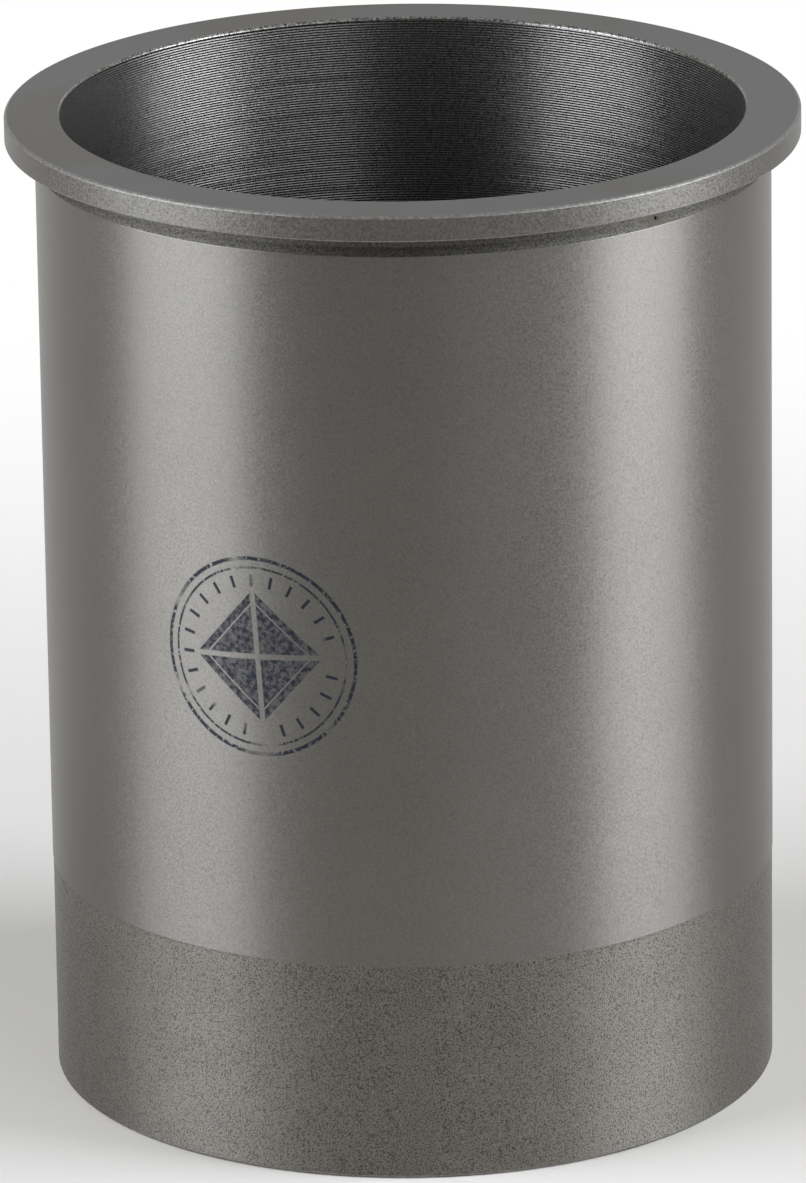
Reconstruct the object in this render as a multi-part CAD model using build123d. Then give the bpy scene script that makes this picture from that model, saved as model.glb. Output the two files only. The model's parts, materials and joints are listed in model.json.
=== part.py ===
from build123d import *
import os

# Flanged cylinder liner for a single-cylinder four-stroke engine, turned from one
# centrifugally cast iron tube. It is pressed down into a bored-out barrel until its flange
# seats, and the piston runs in its bore.
#
# Frame: millimetres, +Z up along the bore axis, origin at the centre of the foot face.
# From the top down: flange, grinding relief, ground seat, and a foot band that is left as
# turned, a little under the ground size.

# Bore and wall
BORE_DIAMETER = 88.4            # semi-finished, left under size for boring and honing
WALL = 3.3                      # bore to ground seat

# Lengths along the axis
OVERALL_LENGTH = 129.6
FLANGE_THICKNESS = 3.3
RELIEF_WIDTH = 3.0
FOOT_BAND_HEIGHT = 28.0

# Radial steps from the ground seat
FLANGE_OVERHANG = 3.85          # flange stands out of the ground seat
RELIEF_DEPTH = 0.5              # relief lies below the ground seat
FOOT_BAND_UNDERSIZE = 0.08      # foot band lies below the ground seat

# Edges
RELIEF_CORNER_RADIUS = 0.3      # nose radius of the relief tool, under the flange
RELIEF_RUN_OUT = 1.1            # length of the ramp from the relief down to the ground seat
SEAT_LEAD_LENGTH = 1.5          # taper from the foot band up to the ground seat
FLANGE_TOP_BREAK = 0.3
FLANGE_UNDERSIDE_BREAK = 0.1
FOOT_OUTER_CHAMFER = 0.3
BORE_MOUTH_CHAMFER = 0.25
BORE_FOOT_CHAMFER = 0.5

# Radii, each stepped from the bore
BORE_RADIUS = BORE_DIAMETER / 2
SEAT_RADIUS = BORE_RADIUS + WALL
FLANGE_RADIUS = SEAT_RADIUS + FLANGE_OVERHANG
RELIEF_RADIUS = SEAT_RADIUS - RELIEF_DEPTH
FOOT_BAND_RADIUS = SEAT_RADIUS - FOOT_BAND_UNDERSIZE

# Heights, each stepped from the end that it is gauged from
FLANGE_UNDERSIDE = OVERALL_LENGTH - FLANGE_THICKNESS
SEAT_TOP = FLANGE_UNDERSIDE - RELIEF_WIDTH
SEAT_BOTTOM = FOOT_BAND_HEIGHT + SEAT_LEAD_LENGTH

# Corners of the half-section as (radius, height), anticlockwise from the foot of the bore
BORE_FOOT = (BORE_RADIUS, 0)
FOOT_RIM = (FOOT_BAND_RADIUS, 0)
BAND_TOP = (FOOT_BAND_RADIUS, FOOT_BAND_HEIGHT)
SEAT_START = (SEAT_RADIUS, SEAT_BOTTOM)
SEAT_END = (SEAT_RADIUS, SEAT_TOP)
RELIEF_FOOT = (RELIEF_RADIUS, SEAT_TOP + RELIEF_RUN_OUT)
RELIEF_HEAD = (RELIEF_RADIUS, FLANGE_UNDERSIDE)
FLANGE_LOWER_RIM = (FLANGE_RADIUS, FLANGE_UNDERSIDE)
FLANGE_UPPER_RIM = (FLANGE_RADIUS, OVERALL_LENGTH)
BORE_MOUTH = (BORE_RADIUS, OVERALL_LENGTH)

EDGE_BREAKS = {
    BORE_FOOT: BORE_FOOT_CHAMFER,
    FOOT_RIM: FOOT_OUTER_CHAMFER,
    FLANGE_LOWER_RIM: FLANGE_UNDERSIDE_BREAK,
    FLANGE_UPPER_RIM: FLANGE_TOP_BREAK,
    BORE_MOUTH: BORE_MOUTH_CHAMFER,
}


def corner(section, place):
    """The vertex of the section that lies at a (radius, height) corner."""
    return section.vertices().sort_by_distance(place)[0]


def half_section():
    """One side of the liner cut through its axis, with its edge breaks and relief radius."""
    with BuildSketch(Plane.XZ) as sketch:
        with BuildLine():
            Polyline(
                BORE_FOOT,
                FOOT_RIM,
                BAND_TOP,
                SEAT_START,
                SEAT_END,
                RELIEF_FOOT,
                RELIEF_HEAD,
                FLANGE_LOWER_RIM,
                FLANGE_UPPER_RIM,
                BORE_MOUTH,
                close=True,
            )
        make_face()
        fillet(corner(sketch, RELIEF_HEAD), RELIEF_CORNER_RADIUS)
        for place, size in EDGE_BREAKS.items():
            chamfer(corner(sketch, place), size)
    return sketch.sketch


def cylinder_liner():
    """The whole liner, as one solid of revolution about the bore axis."""
    return revolve(half_section(), axis=Axis.Z)


os.makedirs("parts", exist_ok=True)
export_step(cylinder_liner(), "parts/cylinder_liner.step")
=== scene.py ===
import json
import math

import bmesh
import bpy
from mathutils import Matrix, Vector


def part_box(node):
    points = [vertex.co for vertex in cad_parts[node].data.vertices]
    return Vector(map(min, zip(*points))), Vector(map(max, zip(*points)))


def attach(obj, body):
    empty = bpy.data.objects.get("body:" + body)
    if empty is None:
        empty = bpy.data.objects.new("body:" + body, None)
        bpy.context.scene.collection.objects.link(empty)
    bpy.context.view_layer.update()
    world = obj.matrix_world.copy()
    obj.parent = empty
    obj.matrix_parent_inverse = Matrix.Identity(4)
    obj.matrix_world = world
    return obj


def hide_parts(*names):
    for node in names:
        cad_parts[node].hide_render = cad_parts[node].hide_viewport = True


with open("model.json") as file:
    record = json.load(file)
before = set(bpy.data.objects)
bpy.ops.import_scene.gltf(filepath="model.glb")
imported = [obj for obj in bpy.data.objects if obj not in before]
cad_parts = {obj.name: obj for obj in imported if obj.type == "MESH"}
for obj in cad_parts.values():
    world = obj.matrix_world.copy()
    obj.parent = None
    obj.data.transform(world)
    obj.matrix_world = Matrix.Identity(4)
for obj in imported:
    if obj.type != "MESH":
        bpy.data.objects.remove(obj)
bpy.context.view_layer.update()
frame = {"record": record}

# Flanged cylinder liner, turned and ground from one iron tube. The visual piece follows the
# CAD section, and adds what the lathe left: the boring helix, small radii on the edges, the
# grain of each finish, and a plain inked inspection mark. Lengths are in millimetres up to
# the point where vertices are made, then in metres.

MM = 0.001
TURN = 2 * math.pi

# ---------------------------------------------------------------- sizes from the frame
MOUNTS = {mount["name"]: mount for mount in frame["record"]["mounts"]}


def mount_radius(name):
    return MOUNTS[name]["dims"]["r_mm"]


def mount_height(name):
    return MOUNTS[name]["pos_m"][2] / MM


BORE_R = mount_radius("piston_bore")
SEAT_R = mount_radius("ground_seat")
RIM_R = mount_radius("flange_rim")
TOP_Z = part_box("cylinder_liner")[1][2] / MM
UNDER_Z = mount_height("flange_seat")
SEAT_HALF = MOUNTS["ground_seat"]["dims"]["length_mm"] / 2
SEAT_HIGH = mount_height("ground_seat") + SEAT_HALF

# Small features that no mount states, as in the CAD section
RELIEF_DEPTH = 0.5
RELIEF_FILLET = 0.3
RELIEF_RUN_OUT = 1.1
BAND_STEP = 0.08
GROUND_TO = 28.97               # height at which the grinding stops, on the foot band's lead
LEAD_SHOWN = 0.6                # the part of that lead that is drawn, shorter than the CAD's
TOP_BREAK = 0.3
UNDER_BREAK = 0.1
FOOT_BREAK = 0.3
MOUTH_CHAMFER = 0.25
BORE_FOOT_CHAMFER = 0.5

RELIEF_R = SEAT_R - RELIEF_DEPTH
BAND_R = SEAT_R - BAND_STEP
BAND_TOP = GROUND_TO - LEAD_SHOWN

# Boring helix: one groove a turn, between sharp crests
PITCH = 0.342
VALLEY = 0.042
UP_SHARE = 0.38                 # share of the pitch on the side of the groove that faces up
PITCH_DRIFT = 0.03              # how far the tool wanders, as a share of the pitch
DEPTH_DRIFT = 0.08              # and as a share of the groove's depth

# Sections of the two ends of the bore, from the end face to the bored wall: a chamfer whose
# lower corner the tool has left rounded, at the mouth, and a plain one at the foot
MOUTH = (
    (BORE_R + MOUTH_CHAMFER, TOP_Z),
    (BORE_R + 0.13, TOP_Z - 0.12),
    (BORE_R + 0.04, TOP_Z - 0.24),
    (BORE_R, TOP_Z - 0.37),
)
FOOT = (
    (BORE_R + BORE_FOOT_CHAMFER, 0.0),
    (BORE_R, BORE_FOOT_CHAMFER),
)

# Columns round the part. The bore has half as many, and a strip on each end face joins them.
BORE_COLUMNS = 96
COLUMNS = 2 * BORE_COLUMNS
SEAM = math.pi / 2              # column 0 is at the back, +Y

# Charts of the bake layout, as (low, high) in u and v. The patch that holds the ink mark has a
# chart of its own, so that its lines get more of the texture.
OUTSIDE_U, OUTSIDE_V = (0.005, 0.995), (0.42, 0.995)
MARK_U, MARK_V = (0.01, 0.42), (0.01, 0.40)
BORE_U, BORE_V = (0.45, 0.99), (0.01, 0.40)
END_V = 0.003                   # v taken by each strip at an end of the bore

# Inked inspection mark: its middle, as degrees from -Y towards +X and height in mm
MARK_ANGLE = -24.0
MARK_Z = 69.7
MARK_REACH = 16.0               # half the patch of wall that holds it
MARK_TILT = math.radians(-4)
OUTER_RING = (13.0, 0.50)       # radius and line width
INNER_RING = (11.8, 0.30)
TICK_RING = (10.1, 1.6)         # middle radius and length of the ticks
TICKS = 24
DIAMOND = 8.8                   # half its diagonal
DIAMOND_INSET = (7.3, 0.3)      # clear line inside it: half its diagonal and width

# ---------------------------------------------------------------- camera
CAMERA_PLACE = (0.0, -1.2100, 0.4657)
CAMERA_PITCH = 0.32077          # below the horizon
CAMERA_YAW = -0.00067
CAMERA_ROLL = -0.01425
CAMERA_LENS = 296.31            # mm, for a 36 mm high film


def make_camera():
    data = bpy.data.cameras.new("camera")
    data.sensor_fit = "VERTICAL"
    data.sensor_height = 36.0
    data.lens = CAMERA_LENS
    ahead = Vector((
        math.sin(CAMERA_YAW) * math.cos(CAMERA_PITCH),
        math.cos(CAMERA_YAW) * math.cos(CAMERA_PITCH),
        -math.sin(CAMERA_PITCH),
    ))
    level = ahead.cross(Vector((0, 0, 1))).normalized()
    above = level.cross(ahead)
    right = math.cos(CAMERA_ROLL) * level + math.sin(CAMERA_ROLL) * above
    up = math.cos(CAMERA_ROLL) * above - math.sin(CAMERA_ROLL) * level
    camera = bpy.data.objects.new("camera", data)
    bpy.context.collection.objects.link(camera)
    turned = Matrix((right, up, -ahead)).transposed().to_4x4()
    camera.matrix_world = Matrix.Translation(CAMERA_PLACE) @ turned
    bpy.context.scene.camera = camera


# ---------------------------------------------------------------- shader nodes
class Nodes:
    """Adds nodes to a tree. A value is a number, a colour or another node's output."""

    def __init__(self, tree):
        self.tree = tree
        tree.nodes.clear()

    def add(self, kind, values=(), **settings):
        node = self.tree.nodes.new("ShaderNode" + kind)
        for name, setting in settings.items():
            setattr(node, name, setting)
        for socket, value in dict(values).items():
            self.feed(node.inputs[socket], value)
        return node

    def feed(self, socket, value):
        if isinstance(value, bpy.types.NodeSocket):
            self.tree.links.new(value, socket)
        else:
            socket.default_value = value

    def math(self, operation, *values, clamp=False):
        node = self.add("Math", enumerate(values), operation=operation, use_clamp=clamp)
        return node.outputs[0]

    def vector(self, x, y, z):
        return self.add("CombineXYZ", {"X": x, "Y": y, "Z": z}).outputs[0]

    def noise(self, vector, scale, detail=2.0, roughness=0.5):
        values = {"Vector": vector, "Scale": scale, "Detail": detail, "Roughness": roughness}
        return self.add("TexNoise", values).outputs["Fac"]

    def span(self, value, low, high, to_low=0.0, to_high=1.0, smooth=False):
        """value from low..high to to_low..to_high, clamped."""
        kind = "SMOOTHSTEP" if smooth else "LINEAR"
        node = self.add("MapRange", interpolation_type=kind)
        sockets = ("Value", "From Min", "From Max", "To Min", "To Max")
        for name, number in zip(sockets, (value, low, high, to_low, to_high)):
            self.feed(node.inputs[name], number)
        return node.outputs["Result"]

    def blend(self, factor, first, second):
        """A colour between first and second."""
        node = self.add("Mix", data_type="RGBA")
        for index, value in ((0, factor), (6, first), (7, second)):
            self.feed(node.inputs[index], value)
        return node.outputs[2]

    def shade(self, colour, factor):
        """colour times factor."""
        if not isinstance(colour, bpy.types.NodeSocket):
            colour = colour[:3]
        node = self.add("VectorMath", {0: colour, "Scale": factor}, operation="SCALE")
        return node.outputs[0]


def grey(level, warmth=0.0):
    """Linear colour: warmth above 0 leans to yellow, below 0 to blue."""
    return (level * (1 + 0.4 * warmth), level, level * (1 - warmth), 1.0)


# ---------------------------------------------------------------- light, world and floor
WHITE = (1.0, 1.0, 1.0, 1.0)
FILL = 0.20                     # world as seen by diffuse surfaces
ROOM = 0.078                    # backdrop as seen in metal, low down on the camera's side
CEILING = 0.62                  # and above it
FLOOR_FRONT = 0.60              # the floor there, as seen in metal
BACK = 0.87                     # the backdrop behind the part, as seen in metal
FLOOR_GREY = 0.86
FLOOR_WARMTH = 0.08
FLOOR_FADE = (0.06, 0.34)       # distances, in metres, between which the floor turns white
FLOOR_HALF = 6.0                # half its side, in metres
FLOOR_GAP = 0.00005             # keeps it just clear of the part's foot face
LAMP_TINT = (0.965, 1.0, 1.11)
LAMPS = (
    # name, degrees from -Y towards +X, middle height, distance, width, height, power in watts
    ("softbox_left", -70.5, 0.41, 0.90, 0.68, 0.80, 11.1),
    ("softbox_right", 77.0, 0.555, 1.25, 0.77, 1.11, 22.4),
    ("softbox_front", 38.0, 0.60, 0.90, 0.76, 0.40, 2.2),
)


def sees_background(nodes):
    """1 for rays that look at the backdrop: from the camera, off metal, or through glass."""
    path = nodes.add("LightPath").outputs
    direct = nodes.math("MAXIMUM", path["Is Camera Ray"], path["Is Glossy Ray"])
    return nodes.math("MAXIMUM", direct, path["Is Transmission Ray"])


def backdrop_level(nodes, toward, front):
    """Strength of the backdrop. The camera sees it white all round. Metal sees BACK behind the
    part and darker levels towards the camera, where the studio is open."""
    room = nodes.span(toward, -0.8, 1.15, front, BACK, smooth=True)
    return nodes.math("MAXIMUM", room, nodes.add("LightPath").outputs["Is Camera Ray"])


def make_world():
    world = bpy.data.worlds.new("studio")
    world.use_nodes = True
    bpy.context.scene.world = world
    nodes = Nodes(world.node_tree)
    toward = nodes.add("TexCoord").outputs["Generated"]
    split = nodes.add("SeparateXYZ", {"Vector": toward}).outputs
    front = nodes.span(split["Z"], 0.35, 0.95, ROOM, CEILING, smooth=True)
    level = backdrop_level(nodes, split["Y"], front)
    backdrop = nodes.add("Background", {"Color": WHITE, "Strength": level})
    fill = nodes.add("Background", {"Color": WHITE, "Strength": FILL})
    chosen = nodes.add("MixShader", {0: sees_background(nodes)})
    nodes.feed(chosen.inputs[1], fill.outputs[0])
    nodes.feed(chosen.inputs[2], backdrop.outputs[0])
    nodes.add("OutputWorld", {"Surface": chosen.outputs[0]})


def make_floor():
    """A pale floor that turns into the white backdrop away from the part."""
    mesh = bpy.data.meshes.new("floor")
    half = FLOOR_HALF
    corners = [(-half, -half, 0), (half, -half, 0), (half, half, 0), (-half, half, 0)]
    mesh.from_pydata(corners, [], [(0, 1, 2, 3)])
    floor = bpy.data.objects.new("floor", mesh)
    bpy.context.collection.objects.link(floor)
    floor.location.z = -FLOOR_GAP
    material = bpy.data.materials.new("floor")
    material.use_nodes = True
    nodes = Nodes(material.node_tree)
    place = nodes.add("TexCoord").outputs["Object"]
    reach = nodes.add("VectorMath", {0: place}, operation="LENGTH").outputs["Value"]
    far = nodes.span(reach, *FLOOR_FADE, smooth=True)
    toward = nodes.add("SeparateXYZ", {"Vector": place}).outputs["Y"]
    level = backdrop_level(nodes, toward, FLOOR_FRONT)
    white = nodes.math("MULTIPLY", far, sees_background(nodes))
    pale = nodes.add("BsdfDiffuse", {"Color": grey(FLOOR_GREY, FLOOR_WARMTH)})
    backdrop = nodes.add("Emission", {"Color": WHITE, "Strength": level})
    mixed = nodes.add("MixShader", {0: white})
    nodes.feed(mixed.inputs[1], pale.outputs[0])
    nodes.feed(mixed.inputs[2], backdrop.outputs[0])
    nodes.add("OutputMaterial", {"Surface": mixed.outputs[0]})
    mesh.materials.append(material)


def make_lamps():
    target = Vector((0, 0, TOP_Z * MM / 2))
    for name, degrees, height, distance, width, tall, power in LAMPS:
        data = bpy.data.lights.new(name, "AREA")
        data.shape = "RECTANGLE"
        data.size = width
        data.size_y = tall
        data.energy = power
        data.color = LAMP_TINT
        lamp = bpy.data.objects.new(name, data)
        bpy.context.collection.objects.link(lamp)
        angle = math.radians(degrees)
        lamp.location = (distance * math.sin(angle), -distance * math.cos(angle), height)
        away = Vector(lamp.location) - target
        away.z = 0
        lamp.rotation_euler = away.to_track_quat("Z", "Y").to_euler()
        lamp.visible_camera = False


# ---------------------------------------------------------------- finishes
class Metal(Nodes):
    """An iron surface whose grain runs round the axis, as the lathe and the grinder leave it."""

    def __init__(self, name, anisotropy, turn=0.25):
        self.material = bpy.data.materials.new(name)
        self.material.use_nodes = True
        super().__init__(self.material.node_tree)
        self.place = self.add("TexCoord").outputs["Object"]
        split = self.add("SeparateXYZ", {"Vector": self.place}).outputs
        self.x, self.y, self.z = split["X"], split["Y"], split["Z"]
        square = self.math("ADD", self.math("MULTIPLY", self.x, self.x),
                           self.math("MULTIPLY", self.y, self.y))
        self.radius = self.math("SQRT", square)
        self.along = self.math("ADD", self.z, self.radius)
        tangent = self.add("Tangent", direction_type="RADIAL", axis="Z").outputs[0]
        self.shader = self.add("BsdfPrincipled", {
            "Metallic": 1.0,
            "Anisotropic": anisotropy,
            "Anisotropic Rotation": turn,
            "Tangent": tangent,
        })
        self.add("OutputMaterial", {"Surface": self.shader.outputs[0]})

    def grain(self, round_scale, along_scale, detail=2.0):
        """Noise drawn out round the axis: scales are features per metre."""
        vector = self.vector(
            self.math("MULTIPLY", self.x, round_scale),
            self.math("MULTIPLY", self.y, round_scale),
            self.math("MULTIPLY", self.along, along_scale),
        )
        return self.noise(vector, 1.0, detail)

    def finish(self, colour, roughness, height, depth, strength=1.0):
        """Sets the surface. height runs from 0 to 1 and stands depth metres high."""
        bump = self.add("Bump", {"Strength": strength, "Distance": depth, "Height": height})
        self.feed(self.shader.inputs["Base Color"], colour)
        self.feed(self.shader.inputs["Roughness"], roughness)
        self.feed(self.shader.inputs["Normal"], bump.outputs[0])
        return self.material


IRON = 0.172                    # reflectance of the clean iron, linear
WARMTH = 0.11                   # the iron leans to yellow, and more so where it is left rough
INK = (0.010, 0.012, 0.020, 1.0)


def ring_line(nodes, distance, radius, width):
    """1 on a drawn line of that width at a distance, in mm, with soft edges."""
    off = nodes.math("ABSOLUTE", nodes.math("SUBTRACT", distance, radius))
    return nodes.span(off, width / 2 + 0.06, width / 2 - 0.06)


def on_wall(metal, degrees, height, tilt):
    """Place on the outside wall as (vector, along, off) in mm, from a point that lies at an
    angle from -Y towards +X, with the axes tilted."""
    behind = metal.math("MULTIPLY", metal.y, -1.0)
    angle = metal.math("ARCTAN2", metal.x, behind)
    across = metal.math("MULTIPLY", metal.math("SUBTRACT", angle, math.radians(degrees)), SEAT_R)
    up = metal.math("SUBTRACT", metal.math("DIVIDE", metal.z, MM), height)
    turned = metal.add("VectorRotate", {
        "Vector": metal.vector(across, up, 0.0),
        "Angle": tilt,
    }, rotation_type="Z_AXIS").outputs[0]
    split = metal.add("SeparateXYZ", {"Vector": turned}).outputs
    return turned, split["X"], split["Y"]


def ink_cover(metal):
    """How much ink lies at each point: a plain inspection mark of two rings round a ring of
    ticks and a quartered diamond, unevenly stamped."""
    turned, u, v = on_wall(metal, MARK_ANGLE, MARK_Z, MARK_TILT)
    reach = metal.add("VectorMath", {0: turned}, operation="LENGTH").outputs["Value"]
    rings = metal.math("MAXIMUM", ring_line(metal, reach, *OUTER_RING),
                       ring_line(metal, reach, *INNER_RING))
    grainy = metal.span(metal.noise(metal.place, 2300.0, 2.0), 0.33, 0.46)
    rings = metal.math("MULTIPLY", rings, grainy)
    # Ticks: whole strokes round the middle, too plain to read as lettering
    bearing = metal.math("ARCTAN2", v, u)
    step = TURN / TICKS
    off_tick = metal.math("MULTIPLY", metal.math("PINGPONG", bearing, step / 2), reach)
    ticks = metal.math("MULTIPLY", metal.span(off_tick, 0.26, 0.16), ring_line(metal, reach, *TICK_RING))
    # Diamond, left clear along both of its diagonals and along a thin line inside its sides
    wide, tall = metal.math("ABSOLUTE", u), metal.math("ABSOLUTE", v)
    side = metal.math("ADD", wide, tall)
    slot = metal.span(metal.math("MINIMUM", wide, tall), 0.28, 0.42)
    inset = metal.math("SUBTRACT", 1.0, ring_line(metal, side, *DIAMOND_INSET))
    clear = metal.math("MULTIPLY", slot, inset)
    block = metal.math("MULTIPLY", metal.span(side, DIAMOND + 0.06, DIAMOND - 0.06), clear)
    mottle = metal.span(metal.noise(metal.place, 1500.0, 3.0, 0.65), 0.38, 0.60, 0.50, 1.0)
    patch = metal.span(metal.noise(metal.place, 190.0, 2.0), 0.32, 0.46)
    lines = metal.math("MULTIPLY", metal.math("MAXIMUM", rings, ticks), patch)
    return metal.math("MAXIMUM", lines, metal.math("MULTIPLY", block, mottle))


NICK_ANGLE, NICK_Z = -73.9, 28.0
NICK_TILT = math.radians(27)


def nick(metal):
    """1 in the short nick on the left, at the top of the foot band."""
    _, along, off = on_wall(metal, NICK_ANGLE, NICK_Z, NICK_TILT)
    rag = metal.math("MULTIPLY", metal.noise(metal.place, 1500.0), 0.9)
    wide = metal.math("ADD", metal.math("ABSOLUTE", off), rag)
    near = metal.span(wide, 0.72, 0.52)
    return metal.math("MULTIPLY", near, metal.span(metal.math("ABSOLUTE", along), 1.5, 1.1))


def ground_material():
    """Ground seat: faint streaks round the part, fine speckle, and the ink mark."""
    metal = Metal("ground_iron", 0.78)
    streak = metal.grain(70.0, 4200.0)
    cloud = metal.noise(metal.place, 45.0, 3.0)
    speck = metal.noise(metal.place, 4200.0, 1.0)
    tone = metal.math("ADD", metal.span(speck, 0.3, 0.7, 0.84, 1.16),
                      metal.span(cloud, 0.3, 0.7, -0.03, 0.03))
    ink = ink_cover(metal)
    iron = metal.shade(grey(IRON, WARMTH), tone)
    rough = metal.math("ADD", metal.span(speck, 0.3, 0.7, 0.34, 0.50), metal.math("MULTIPLY", ink, 0.1))
    height = metal.math("ADD", metal.math("MULTIPLY", streak, 0.35), metal.math("MULTIPLY", speck, 0.65))
    metal.feed(metal.shader.inputs["Metallic"], metal.math("SUBTRACT", 1.0, ink))
    metal.feed(metal.shader.inputs["Specular IOR Level"], 0.2)
    return metal.finish(metal.blend(ink, iron, INK), rough, height, 0.0000065)


def band_material():
    """Foot band: left as turned, with dense dark pits and light flecks."""
    metal = Metal("turned_iron", 0.65)
    pits = metal.noise(metal.place, 4600.0, 1.5)
    fine = metal.noise(metal.place, 7000.0, 1.0)
    cloud = metal.noise(metal.place, 160.0, 3.0)
    dark = metal.span(pits, 0.34, 0.54, 0.40, 1.0)
    fleck = metal.span(fine, 0.54, 0.70, 0.0, 0.45)
    tone = metal.math("ADD", metal.math("ADD", dark, fleck), metal.span(cloud, 0.3, 0.7, -0.05, 0.05))
    tone = metal.math("MULTIPLY", tone, metal.span(nick(metal), 0.0, 1.0, 1.0, 0.3))
    colour = metal.shade(grey(IRON * 0.98, WARMTH + 0.02), tone)
    rough = metal.span(pits, 0.34, 0.56, 0.60, 0.44)
    return metal.finish(colour, rough, pits, 0.000024)


def face_material():
    """End faces: smooth facing cuts, with a brownish bloom in places."""
    metal = Metal("faced_iron", 0.3)
    ring = metal.grain(30.0, 5000.0)
    cloud = metal.noise(metal.place, 70.0, 3.0)
    tone = metal.math("ADD", metal.span(ring, 0.3, 0.7, 0.975, 1.025),
                      metal.span(cloud, 0.3, 0.7, -0.07, 0.07))
    bloom = metal.span(metal.noise(metal.place, 32.0, 3.0), 0.50, 0.66)
    iron = metal.blend(bloom, grey(IRON * 0.90, 0.00), grey(IRON * 0.78, 0.10))
    rough = metal.span(cloud, 0.3, 0.7, 0.38, 0.46)
    metal.feed(metal.shader.inputs["Specular Tint"], grey(0.80))
    return metal.finish(metal.shade(iron, tone), rough, ring, 0.0000025)


def rim_material():
    """Flange rim: coarser than the ground seat, with a salt and pepper speckle."""
    metal = Metal("rim_iron", 0.45)
    speck = metal.noise(metal.place, 3000.0, 1.5)
    streak = metal.grain(110.0, 3500.0)
    tone = metal.span(speck, 0.30, 0.62, 0.70, 1.04)
    colour = metal.shade(grey(IRON * 0.95, WARMTH), tone)
    rough = metal.span(speck, 0.3, 0.7, 0.36, 0.50)
    height = metal.math("ADD", metal.math("MULTIPLY", streak, 0.3), metal.math("MULTIPLY", speck, 0.7))
    return metal.finish(colour, rough, height, 0.000028)


RUST = (0.090, 0.063, 0.046, 1.0)
PIT_DARK = (0.006, 0.004, 0.004, 1.0)
RUST_ANGLE = math.radians(42.1)
RUST_PLACE = (
    RELIEF_R * math.sin(RUST_ANGLE) * MM,
    -RELIEF_R * math.cos(RUST_ANGLE) * MM,
    (SEAT_HIGH + 0.9) * MM,
)


def relief_material():
    """Relief groove: dull and speckled, with rust starting at one pit. Its iron is darker than the
    seat's, partly for its rougher turned finish and partly as painted shade from the flange above.
    """
    metal = Metal("relief_iron_and_painted_shade", 0.3)
    speck = metal.noise(metal.place, 4200.0, 1.5)
    tone = metal.span(speck, 0.32, 0.66, 0.48, 1.20)
    spot = metal.add("VectorMath", {0: metal.place, 1: RUST_PLACE}, operation="DISTANCE").outputs["Value"]
    rust = metal.math("MULTIPLY", metal.span(spot, 0.0032, 0.0), metal.span(speck, 0.40, 0.65))
    pit = metal.span(spot, 0.00030, 0.00020)
    # Painted shade: this iron is set to 0.66 of the seat's, partly for the rough turned finish and partly
    # to stand for the shade the flange casts into the groove.
    iron = metal.shade(grey(IRON * 0.66, WARMTH + 0.02), tone)
    colour = metal.blend(pit, metal.blend(rust, iron, RUST), PIT_DARK)
    return metal.finish(colour, 0.60, speck, 0.000024)


def bore_material():
    """Rough-bored wall: the marks themselves are in the mesh."""
    metal = Metal("bored_iron", 0.3, turn=0.0)
    speck = metal.noise(metal.place, 3600.0, 1.0)
    tone = metal.span(speck, 0.3, 0.7, 0.60, 1.38)
    colour = metal.shade(grey(IRON * 0.68, 0.08), tone)
    rough = metal.span(speck, 0.3, 0.7, 0.26, 0.32)
    metal.feed(metal.shader.inputs["Metallic"], 0.86)
    return metal.finish(colour, rough, speck, 0.000002)


def edge_material():
    """Broken edges: cut bright, and a little ragged."""
    metal = Metal("cut_edge", 0.2)
    speck = metal.noise(metal.place, 2400.0, 2.0)
    colour = metal.shade(grey(IRON * 1.3, 0.07), metal.span(speck, 0.35, 0.65, 0.75, 1.15))
    return metal.finish(colour, 0.52, speck, 0.000016)


def mouth_material():
    """Bore mouth: fresh metal, torn by the tool as it broke out, so it sparkles."""
    metal = Metal("torn_edge", 0.0)
    speck = metal.noise(metal.place, 2600.0, 2.0, 0.7)
    colour = metal.shade(grey(IRON * 1.2, 0.08), metal.span(speck, 0.38, 0.58, 0.30, 1.4))
    return metal.finish(colour, 0.30, speck, 0.000045)


# ---------------------------------------------------------------- mesh
ZONES = ("face", "edge", "mouth", "rim", "relief", "ground", "band", "bore")


def arc(middle, radius, start, end, steps):
    """Points round a corner of the section, angles in degrees."""
    points = []
    for step in range(steps + 1):
        angle = math.radians(start + (end - start) * step / steps)
        points.append((middle[0] + radius * math.cos(angle), middle[1] + radius * math.sin(angle)))
    return points


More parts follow.
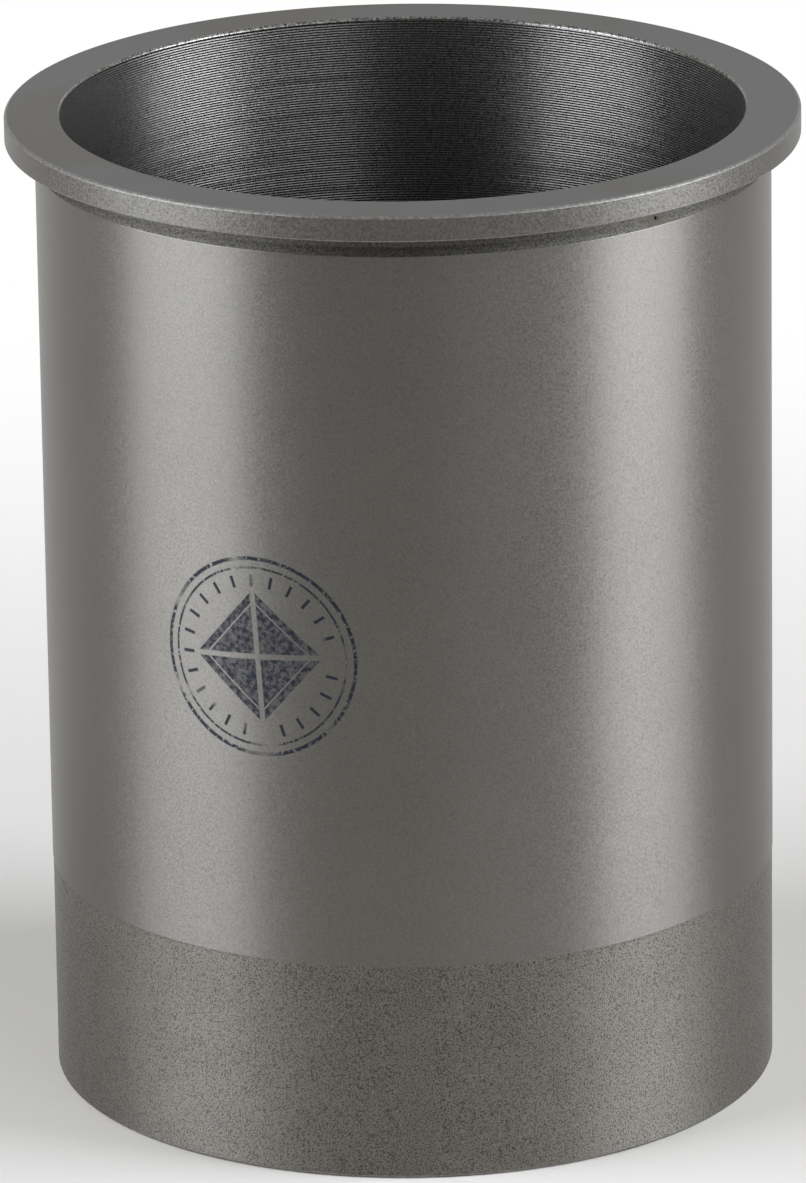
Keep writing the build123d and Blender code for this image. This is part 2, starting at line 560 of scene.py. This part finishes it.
def outer_section():
    """(radius, height, zone of the strip that ends there), from the bore mouth over the flange
    and down the outside to the foot of the bore."""
    hold = 0.04                 # a ring this near an edge keeps the surface beside it flat
    ease = 0.12                 # height over which the ramp's upper bend is rounded
    tip = 0.05                  # how far each cut corner is rounded over
    section = [(BORE_R + MOUTH_CHAMFER + 0.3, TOP_Z, "face")]

    def run(zone, *points):
        section.extend((radius, height, zone) for radius, height in points)

    def cut(corner, size, start, end):
        """A 45 degree chamfer whose two corners are rounded a little."""
        start, end, corner = Vector(start), Vector(end), Vector(corner)
        into, out = corner + start * size, corner + end * size
        side = (out - into).normalized()
        run("edge", into + start * tip, into + side * tip)
        run("edge", out - side * tip, out + end * tip)

    run("face", (RIM_R - TOP_BREAK - hold - tip, TOP_Z))
    cut((RIM_R, TOP_Z), TOP_BREAK, (-1, 0), (0, -1))
    run("rim", (RIM_R, TOP_Z - TOP_BREAK - hold - tip), (RIM_R, UNDER_Z + UNDER_BREAK + hold + tip))
    cut((RIM_R, UNDER_Z), UNDER_BREAK, (0, 1), (-1, 0))
    run("relief", (RIM_R - UNDER_BREAK - hold - tip, UNDER_Z))
    fillet_r = RELIEF_R + RELIEF_FILLET
    run("relief", (fillet_r + hold, UNDER_Z))
    run("relief", *arc((fillet_r, UNDER_Z - RELIEF_FILLET), RELIEF_FILLET, 90, 180, 4))
    ramp_top = SEAT_HIGH + RELIEF_RUN_OUT
    run("relief", (RELIEF_R, UNDER_Z - RELIEF_FILLET - hold), (RELIEF_R, ramp_top + ease))
    run("relief", (RELIEF_R + 0.015, ramp_top), (RELIEF_R + 0.09, ramp_top - ease))
    run("relief", (SEAT_R - 0.07, SEAT_HIGH + 0.10), (SEAT_R - 0.008, SEAT_HIGH))
    run("ground", (SEAT_R, SEAT_HIGH - 0.08), (SEAT_R, SEAT_HIGH - 0.08 - hold))
    run("ground", (SEAT_R, MARK_Z + MARK_REACH), (SEAT_R, MARK_Z - MARK_REACH))
    run("ground", (SEAT_R, GROUND_TO + 0.04), (SEAT_R, GROUND_TO))
    run("band", (SEAT_R - 0.01, GROUND_TO - 0.05), (BAND_R, BAND_TOP))
    run("band", (BAND_R, FOOT_BREAK + hold + tip))
    cut((BAND_R, 0), FOOT_BREAK, (0, 1), (-1, 0))
    run("face", (BAND_R - FOOT_BREAK - hold - tip, 0))
    run("face", (BORE_R + BORE_FOOT_CHAMFER + 0.3, 0))
    return section


def between(limits, share):
    """The value a share of the way from the low limit to the high one."""
    return limits[0] + (limits[1] - limits[0]) * share


class Skin:
    """Collects unrolled patches of the part, whose edges are welded at the end."""

    def __init__(self):
        self.bm = bmesh.new()
        self.uv = self.bm.loops.layers.uv.new("OFBake")

    def point(self, column, columns, radius, height):
        angle = SEAM + TURN * column / columns
        place = (radius * math.cos(angle) * MM, radius * math.sin(angle) * MM, height * MM)
        return self.bm.verts.new(place)

    def face(self, corners, zone):
        """corners are (vertex, (u, v))."""
        made = self.bm.faces.new([vertex for vertex, _ in corners])
        made.smooth = True
        made.material_index = ZONES.index(zone)
        for loop, (_, place) in zip(made.loops, corners):
            loop[self.uv].uv = place


def chart_outside(section):
    """v of each ring of the outside, by length along the section."""
    lengths = [0.0]
    for before, after in zip(section, section[1:]):
        lengths.append(lengths[-1] + math.dist(before[:2], after[:2]))
    return [between(OUTSIDE_V, 1 - length / lengths[-1]) for length in lengths]


def build_outside(skin):
    section = outer_section()
    heights = chart_outside(section)
    rings = []
    for radius, height, _ in section:
        rings.append([skin.point(column, COLUMNS, radius, height) for column in range(COLUMNS + 1)])
    mark_column = (math.radians(MARK_ANGLE - 90) - SEAM) % TURN / TURN * COLUMNS
    reach = math.ceil(MARK_REACH / (SEAT_R * TURN / COLUMNS))
    first = round(mark_column) - reach
    last = round(mark_column) + reach
    for row in range(len(section) - 1):
        in_mark = section[row][1] == MARK_Z + MARK_REACH
        for column in range(COLUMNS):
            ring = ((row, column), (row + 1, column), (row + 1, column + 1), (row, column + 1))
            corners = []
            for r, c in ring:
                place = (between(OUTSIDE_U, c / COLUMNS), heights[r])
                if in_mark and first <= column < last:
                    u = between(MARK_U, (c - first) / (last - first))
                    place = (u, MARK_V[1] if r == row else MARK_V[0])
                corners.append((rings[r][c], place))
            skin.face(corners, section[row + 1][2])
    return rings[0], rings[-1], heights[0], heights[-1]


def build_ends(skin, top_ring, foot_ring, top_v, foot_v):
    """Chamfers at both ends of the bore, and the strips where its columns meet the outside's."""
    ends = (
        (MOUTH, "mouth", top_ring, top_v, END_V),
        (FOOT, "edge", foot_ring, foot_v, -END_V),
    )
    for profile, zone, outer, outer_v, step in ends:
        face_z = profile[0][1]
        rings = []
        for radius, height in profile:
            rings.append([skin.point(c, BORE_COLUMNS, radius, height) for c in range(BORE_COLUMNS + 1)])
        rim = rings[0]
        for c in range(BORE_COLUMNS):
            u = [between(OUTSIDE_U, (c + part / 2) / BORE_COLUMNS) for part in range(3)]
            a, b = (rim[c], (u[0], outer_v + step)), (rim[c + 1], (u[2], outer_v + step))
            low, middle, high = (
                (outer[2 * c + part], (u[part], outer_v)) for part in range(3)
            )
            faces = [((a, low, middle), "face"), ((a, middle, b), "face"), ((b, middle, high), "face")]
            for index in range(1, len(rings)):
                ring, v = rings[index], outer_v + step * (1 + index / (len(rings) - 1))
                d, e = (ring[c], (u[0], v)), (ring[c + 1], (u[2], v))
                faces.append(((d, a, b, e), zone))
                a, b = d, e
            for corners, kind in faces:
                if face_z == 0.0:
                    corners = corners[::-1]
                skin.face(corners, kind)


def turn_noise(turns):
    """Slow change along the tool's path, from -1 to 1."""
    return (
        math.sin(TURN * 0.3819 * turns)
        + math.sin(TURN * 1.137 * turns + 1.3)
        + math.sin(TURN * 0.0917 * turns + 4.1)
        + math.sin(TURN * 3.219 * turns + 0.6)
    ) / 4


def build_bore(skin):
    """The bored wall as one helix: even rows are crests, odd rows the valleys between."""
    low = FOOT[-1][1]
    high = MOUTH[-1][1]
    rows = 2 * math.ceil((high - low) / PITCH) + 1
    grid = []
    for row in range(-4, rows + 2):
        line = []
        for column in range(BORE_COLUMNS + 1):
            turns = row / 2 + column / BORE_COLUMNS
            height = low + PITCH * (turns + PITCH_DRIFT * turn_noise(turns))
            radius = BORE_R
            if row % 2:
                height -= PITCH * (0.5 - UP_SHARE)
                if low < height < high:
                    radius += VALLEY * (1 + DEPTH_DRIFT * turn_noise(1.7 * turns + 9.0))
            height = min(max(height, low), high)
            u = between(BORE_U, column / BORE_COLUMNS)
            place = (u, between(BORE_V, (height - low) / (high - low)))
            line.append((skin.point(column, BORE_COLUMNS, radius, height), place))
        grid.append(line)
    for lower, upper in zip(grid, grid[1:]):
        for column in range(BORE_COLUMNS):
            corners = (lower[column], upper[column], upper[column + 1], lower[column + 1])
            if upper[column + 1][0].co.z - lower[column][0].co.z < 1e-8:
                continue
            skin.face(corners, "bore")


def sharpen(bm):
    """The tool leaves crisp crests and valleys, and the cut edges stay crisp too."""
    reach = (BORE_R + 2 * VALLEY) * MM
    for edge in bm.edges:
        first, second = (vertex.co for vertex in edge.verts)
        if max(first.xy.length, second.xy.length) < reach:
            edge.smooth = abs(first.z - second.z) > PITCH * MM / 4
        elif edge.calc_face_angle() > math.radians(32):
            edge.smooth = False


def build_liner():
    skin = Skin()
    build_ends(skin, *build_outside(skin))
    build_bore(skin)
    bm = skin.bm
    bmesh.ops.remove_doubles(bm, verts=bm.verts, dist=1e-7)
    bmesh.ops.dissolve_degenerate(bm, edges=bm.edges, dist=1e-8)
    bmesh.ops.recalc_face_normals(bm, faces=bm.faces)
    bm.normal_update()
    sharpen(bm)
    mesh = bpy.data.meshes.new("liner")
    bm.to_mesh(mesh)
    open_edges = sum(len(edge.link_faces) != 2 for edge in bm.edges)
    triangles = sum(len(face.verts) - 2 for face in bm.faces)
    print("liner:", triangles, "triangles,", open_edges, "open edges")
    bm.free()
    makers = {
        "face": face_material,
        "edge": edge_material,
        "mouth": mouth_material,
        "rim": rim_material,
        "relief": relief_material,
        "ground": ground_material,
        "band": band_material,
        "bore": bore_material,
    }
    for zone in ZONES:
        mesh.materials.append(makers[zone]())
    liner = bpy.data.objects.new("liner", mesh)
    bpy.context.collection.objects.link(liner)
    return liner


# ---------------------------------------------------------------- the scene
make_camera()
make_world()
make_floor()
make_lamps()
liner = build_liner()
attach(liner, "root")
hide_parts("cylinder_liner")

bpy.context.scene.view_settings.view_transform = "Standard"
